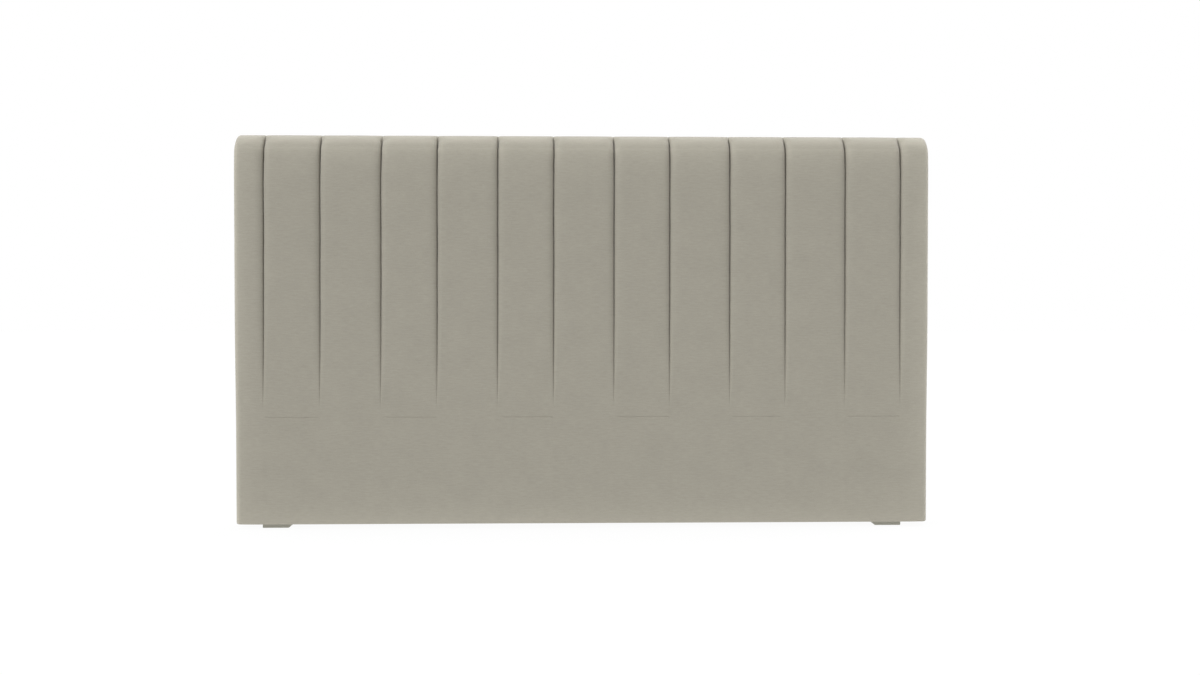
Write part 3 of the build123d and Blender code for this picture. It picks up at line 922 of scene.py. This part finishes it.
class Shader(Nodes):
    """A material with one Principled surface."""

    def __init__(self, name):
        self.material = bpy.data.materials.new(name)
        self.material.use_nodes = True
        super().__init__(self.material.node_tree)
        self.tree.nodes.clear()
        self.surface = self.tree.nodes.new("ShaderNodeBsdfPrincipled")
        self.output = self.tree.nodes.new("ShaderNodeOutputMaterial")
        self.feed(self.output, {"Surface": self.surface.outputs["BSDF"]})

    def set(self, **inputs):
        """Inputs of the surface, with an underscore for each space in a name."""
        self.feed(self.surface, {key.replace("_", " "): v for key, v in inputs.items()})

    def tint(self, colour, factor):
        """The colour made lighter or darker by a factor, as the base colour."""
        scaled = self.node("ShaderNodeVectorMath", {0: colour, "Scale": factor}, operation="SCALE")
        self.set(Base_Color=scaled[0])

    def blend(self, factor, places, colours):
        """A colour between a dark and a light one, as the base colour."""
        ramp = self.tree.nodes.new("ShaderNodeValToRGB")
        for element, place, colour in zip(ramp.color_ramp.elements, places, colours):
            element.position = place
            element.color = (*colour, 1.0)
        self.feed(ramp, {"Fac": factor})
        self.set(Base_Color=ramp.outputs["Color"])

    def bump(self, height, strength, distance, under=None):
        """Fine relief, on top of another one if that is given."""
        inputs = {"Height": height, "Strength": strength, "Distance": distance}
        if under is not None:
            inputs["Normal"] = under
        normal = self.node("ShaderNodeBump", inputs)["Normal"]
        self.set(Normal=normal)
        return normal


def velvet():
    """Greige velvet: fine slubs across, soft brushed patches, pale sheen at a flat angle and a
    painted glow near the edges.
    """
    s = Shader("greige_velvet")
    at = s.where("UV")
    slub = s.noise(at, scale=(48.0, 300.0, 1.0), detail=3.0, roughness=0.65)
    thread = s.noise(at, scale=(260.0, 1500.0, 1.0))
    patch = s.noise(at, scale=(13.0, 17.0, 1.0), detail=3.0, roughness=0.55)
    nap = s.noise(at, scale=(1900.0, 1900.0, 1.0), detail=1.0, roughness=0.5)
    # Painted light: the colour is made paler where the painted glow lies, near the edges and over
    # the crown
    painted_glow = s.node("ShaderNodeAttribute", attribute_name="painted_glow")["Fac"]
    s.tint(FABRIC_COLOUR, s.total(
        s.spread(slub, 0.28), s.spread(thread, 0.28),
        s.spread(patch, 0.12), s.spread(nap, 0.28, base=1.0),
        s.math("MULTIPLY", painted_glow, PAINTED_GLOW)))
    s.set(Roughness=s.spread(patch, 0.16, base=0.86), Specular_IOR_Level=0.12,
          Sheen_Weight=0.22, Sheen_Roughness=0.45, Sheen_Tint=WHITE)

    # Gathers beside the seams, and the threads and the nap on top of them
    gap = s.node("ShaderNodeAttribute", attribute_name="seam_gap")["Fac"]
    square = s.math("POWER", s.math("DIVIDE", gap, GATHER_REACH), 2.0)
    near = s.math("EXPONENT", s.math("MULTIPLY", square, -1.0))
    gather = s.noise(at, scale=(30.0, 160.0, 1.0), roughness=0.5)
    below = s.bump(s.math("MULTIPLY", near, gather), strength=0.5, distance=0.0012)
    height = s.total(s.spread(thread, 0.5), s.spread(slub, 0.3), s.spread(nap, 0.5))
    s.bump(height, strength=0.35, distance=0.00035, under=below)
    return s.material


def fibre(name, colour, size, depth, variation):
    """A soft fibrous or porous layer, such as wadding or foam."""
    s = Shader(name)
    at = s.where()
    coarse = s.noise(at, scale=(size / CLUMP_SIZE,) * 3, detail=3.0)
    fine = s.noise(at, scale=(size,) * 3, detail=3.0, roughness=0.7)
    s.tint(colour, s.total(s.spread(coarse, variation), s.spread(fine, variation, base=1.0)))
    s.set(Roughness=s.spread(fine, 0.1, base=0.92), Specular_IOR_Level=0.1)
    s.bump(s.total(coarse, fine), strength=0.6, distance=depth)
    return s.material


def grained(across, lengthwise, along):
    """A texture's scale across the grain, and lengthwise on the axis that it runs along."""
    return [lengthwise if axis == along else across for axis in "XYZ"]


def timber(name, wood, along):
    """Planed wood whose grain runs along one axis."""
    s = Shader(name)
    at = s.where()
    rings = s.node("ShaderNodeTexWave", {
        "Scale": 3.2, "Distortion": 5.5, "Detail": 3.0, "Detail Scale": 1.6,
        "Vector": s.scaled(at, grained(9.0, 0.7, along))},
        wave_type="RINGS", rings_direction=along)["Fac"]
    pores = s.noise(at, scale=grained(900.0, 22.0, along))
    broad = s.noise(at, scale=(6.0,) * 3, roughness=0.5)
    mixed = s.total(
        s.math("MULTIPLY", rings, 0.55), s.spread(pores, 0.45, base=0.18), s.spread(broad, 0.5))
    s.blend(mixed, (0.15, 0.85), wood)
    s.set(Roughness=s.spread(pores, 0.2, base=0.62), Specular_IOR_Level=0.35)
    s.bump(pores, strength=0.3, distance=0.0002)
    return s.material


def plywood():
    """Rotary-cut plywood: long soft figure on the faces, thin plies at the edges."""
    s = Shader("birch_plywood")
    at = s.where()
    figure = s.noise(at, scale=(3.0, 30.0, 0.9), detail=4.0)
    plies = s.node("ShaderNodeTexWave", {"Scale": 160.0, "Distortion": 0.6, "Vector": at},
                   wave_type="BANDS", bands_direction="Y")["Fac"]
    ahead = s.parts(s.node("ShaderNodeNewGeometry")["Normal"])["Y"]
    on_edge = s.math("SUBTRACT", 1.0, s.math("ABSOLUTE", ahead), clamp=True)
    mixed = s.total(
        s.spread(figure, 0.9, base=0.5), s.math("MULTIPLY", on_edge, s.spread(plies, 0.6)))
    s.blend(mixed, (0.1, 0.9), BIRCH)
    s.set(Roughness=s.spread(figure, 0.25, base=0.55))
    s.bump(figure, strength=0.2, distance=0.0002)
    return s.material


def zinc():
    """Zinc-plated steel: dull and slightly patchy."""
    s = Shader("zinc_plated_steel")
    at = s.where()
    patch = s.noise(at, scale=(240.0,) * 3, detail=3.0)
    drawn = s.noise(at, scale=(3000.0, 3000.0, 400.0), roughness=0.5)
    s.tint(ZINC_COLOUR, s.total(s.spread(patch, 0.25), s.spread(drawn, 0.12, base=1.0)))
    s.set(Roughness=s.spread(patch, 0.3, base=0.36), Metallic=1.0)
    s.bump(drawn, strength=0.15, distance=0.00005)
    return s.material


def spunbond():
    """Black spunbond lining: a fine grid of bonding points over cloudy fibres."""
    s = Shader("black_spunbond")
    at = s.where("UV")
    cloud = s.noise(at, scale=(120.0, 120.0, 1.0), detail=4.0, roughness=0.65)
    fibres = s.noise(at, scale=(1500.0, 700.0, 1.0), detail=3.0, roughness=0.7)
    dots = s.node("ShaderNodeTexVoronoi", {
        "Scale": 1.0, "Randomness": 0.0, "Vector": s.scaled(at, (620.0, 620.0, 1.0))},
        feature="F1", distance="EUCLIDEAN")["Distance"]
    point = s.math("LESS_THAN", dots, 0.28)
    s.tint(LINING_COLOUR, s.total(
        s.spread(cloud, 0.9), s.spread(fibres, 0.5, base=1.0), s.math("MULTIPLY", point, -0.3)))
    s.set(Roughness=s.math("MULTIPLY_ADD", point, -0.25, 0.82), Specular_IOR_Level=0.3,
          Sheen_Weight=0.05, Sheen_Roughness=0.6)
    s.bump(s.total(fibres, s.math("MULTIPLY", point, -0.8)), strength=0.5, distance=0.0002)
    return s.material


def moulded():
    """Moulded plastic foot: matt, with a fine spark-eroded grain and light scuffs."""
    s = Shader("moulded_foot")
    at = s.where()
    grain = s.noise(at, scale=(1600.0,) * 3)
    scuff = s.noise(at, scale=(60.0, 60.0, 300.0), detail=4.0, roughness=0.7)
    s.tint(FOOT_COLOUR, s.total(s.spread(scuff, 0.10), s.spread(grain, 0.08, base=1.0)))
    s.set(Roughness=s.spread(scuff, 0.3, base=0.55), Specular_IOR_Level=0.4)
    s.bump(grain, strength=0.35, distance=0.0001)
    return s.material


def dress(obj, material):
    """Give an object one material over its whole surface."""
    obj.data.materials.clear()
    obj.data.materials.append(material)


# Build

velvet_material = velvet()
for piece, node in make_cover():
    dress(piece, velvet_material)
    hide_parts(node)
    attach(piece, "root")

wadding_material = fibre(
    "polyester_wadding", WADDING_COLOUR, size=420.0, depth=0.0012, variation=0.08)
foam_material = fibre("pale_foam", FOAM_COLOUR, size=900.0, depth=0.0004, variation=0.06)
soft_pieces = (
    (make_wadding(), "wadding", wadding_material, "wadding"),
    (make_face_foam(), "foam_face", foam_material, "foam"),
    (make_top_foam(), "foam_top", foam_material, "foam"),
    (make_side_foam(-1), "foam_side_left", foam_material, "foam"),
    (make_side_foam(1), "foam_side_right", foam_material, "foam"),
)
for piece, node, material, slot_name in soft_pieces:
    dress(piece, material)
    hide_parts(node)
    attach(piece, "root")

lining = make_lining()
dress(lining, spunbond())
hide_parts("back_lining")
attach(lining, "root")

carried = (
    (timber("pine_across", PINE, along="X"),
     ("top_rail", "middle_rail", "bottom_rail", "corner_blocks")),
    (timber("pine_upright", PINE, along="Z"),
     ("stile_left", "stile_right", "lower_post_left", "lower_post_right",
      "upper_post_left", "upper_post_right")),
    (timber("beech_upright", BEECH, along="Z"), ("dowels",)),
    (zinc(), ("board_screws", "foot_screws", "insert_nuts", "cover_staples", "lining_staples")),
    (plywood(), ("front_board",)),
    (moulded(), ("foot_left", "foot_right")),
)
for material, names in carried:
    for name in names:
        dress(nodes[name], material)


# Floor, light and camera

WORLD_LIGHT = 0.04  # from all round
SKY_LIGHT = 1.05  # added overhead, less and less towards the horizon
RIM_LIGHT = 3.5  # a band that lies level with the headboard and just behind it
RIM_SKEW = 0.25  # how much stronger it is at the right
RIM_DIM = 0.25  # and how much weaker overhead
RIM_EDGES = (-0.10, 0.02, 0.25, 0.5)  # how far back its two soft edges begin and end
FLOOR_SIZE = 30.0  # from its middle to each side
FLOOR_BOUNCE = 0.10  # how much of the light it sends back onto the object
FLOOR_LIGHT = 0.95  # and what it gives off by itself
FLOOR_SHADE = 0.04  # the same two as they look from the camera: a faint shadow on white
FLOOR_GLOW = 0.95
KEY_TURN = (60.0, 0.0, -52.0)  # degrees
KEY_SPREAD = 25.0  # degrees
KEY_POWER = 1.18


def seen_directly(s):
    """1 for rays that come from the camera, a mirror or glass, and 0 for the rest."""
    path = s.node("ShaderNodeLightPath")
    return s.math("MAXIMUM", path["Is Camera Ray"], s.math(
        "MAXIMUM", path["Is Glossy Ray"], path["Is Transmission Ray"]))


def make_floor():
    """A plain white floor that keeps a faint shadow."""
    corners = [(x * FLOOR_SIZE, y * FLOOR_SIZE, 0)
               for x, y in ((-1, -1), (1, -1), (1, 1), (-1, 1))]
    floor = placed("floor", new_mesh("floor", corners, [(0, 1, 2, 3)]))
    s = Shader("white_floor")
    s.tree.nodes.remove(s.surface)

    def glowing(grey, strength):
        """A matt surface that also gives off light."""
        matt = s.node("ShaderNodeBsdfDiffuse", {"Color": (grey, grey, grey, 1.0)})
        glow = s.node("ShaderNodeEmission", {"Strength": strength})
        return s.node("ShaderNodeAddShader", {0: matt[0], 1: glow[0]})[0]

    mix = s.node("ShaderNodeMixShader", {
        0: seen_directly(s), 1: glowing(FLOOR_BOUNCE, FLOOR_LIGHT),
        2: glowing(FLOOR_SHADE, FLOOR_GLOW)})
    s.feed(s.output, {"Surface": mix[0]})
    dress(floor, s.material)


def make_world():
    """White surroundings: soft light on the object, and pure white where they are seen."""
    world = bpy.data.worlds.new("white_room")
    bpy.context.scene.world = world
    world.use_nodes = True
    s = Nodes(world.node_tree)
    toward = s.parts(s.where("Generated"))

    def ramp(low, high, start, end):
        return s.node("ShaderNodeMapRange", {
            "Value": toward["Y"], "From Min": low, "From Max": high,
            "To Min": start, "To Max": end}, interpolation_type="SMOOTHSTEP")[0]

    band = s.math("MULTIPLY", ramp(*RIM_EDGES[:2], 0.0, 1.0), ramp(*RIM_EDGES[2:], 1.0, 0.0))
    skew = s.math("MULTIPLY_ADD", toward["X"], RIM_SKEW, 1.0)
    rim = s.math("MULTIPLY", band, s.math("MULTIPLY_ADD", toward["Z"], -RIM_DIM, skew))
    room = s.math("MULTIPLY_ADD", s.math("MAXIMUM", toward["Z"], 0.0), SKY_LIGHT, WORLD_LIGHT)
    light = s.math("MULTIPLY_ADD", rim, RIM_LIGHT, room)
    level = s.node("ShaderNodeMix", {"Factor": seen_directly(s), "A": light, "B": 1.0})[0]
    s.feed(s.tree.nodes["Background"], {"Color": WHITE, "Strength": level})


def make_key():
    """A wide soft light from the upper left front, the same all over the object."""
    data = bpy.data.lights.new("key_light", "SUN")
    data.energy = KEY_POWER
    data.angle = math.radians(KEY_SPREAD)
    lamp = placed("key_light", data)
    lamp.rotation_euler = [math.radians(a) for a in KEY_TURN]


def make_camera():
    """The camera at the photograph's viewing angle."""
    data = bpy.data.cameras.new("photo_camera")
    data.lens = LENS
    data.sensor_width = SENSOR
    data.sensor_fit = "HORIZONTAL"
    camera = placed("photo_camera", data)
    camera.location = CAMERA_PLACE
    camera.rotation_euler = (
        math.radians(90 - CAMERA_PITCH), 0.0, math.radians(-CAMERA_YAW))
    bpy.context.scene.camera = camera


make_floor()
make_world()
make_key()
make_camera()
bpy.context.scene.view_settings.view_transform = "Standard"
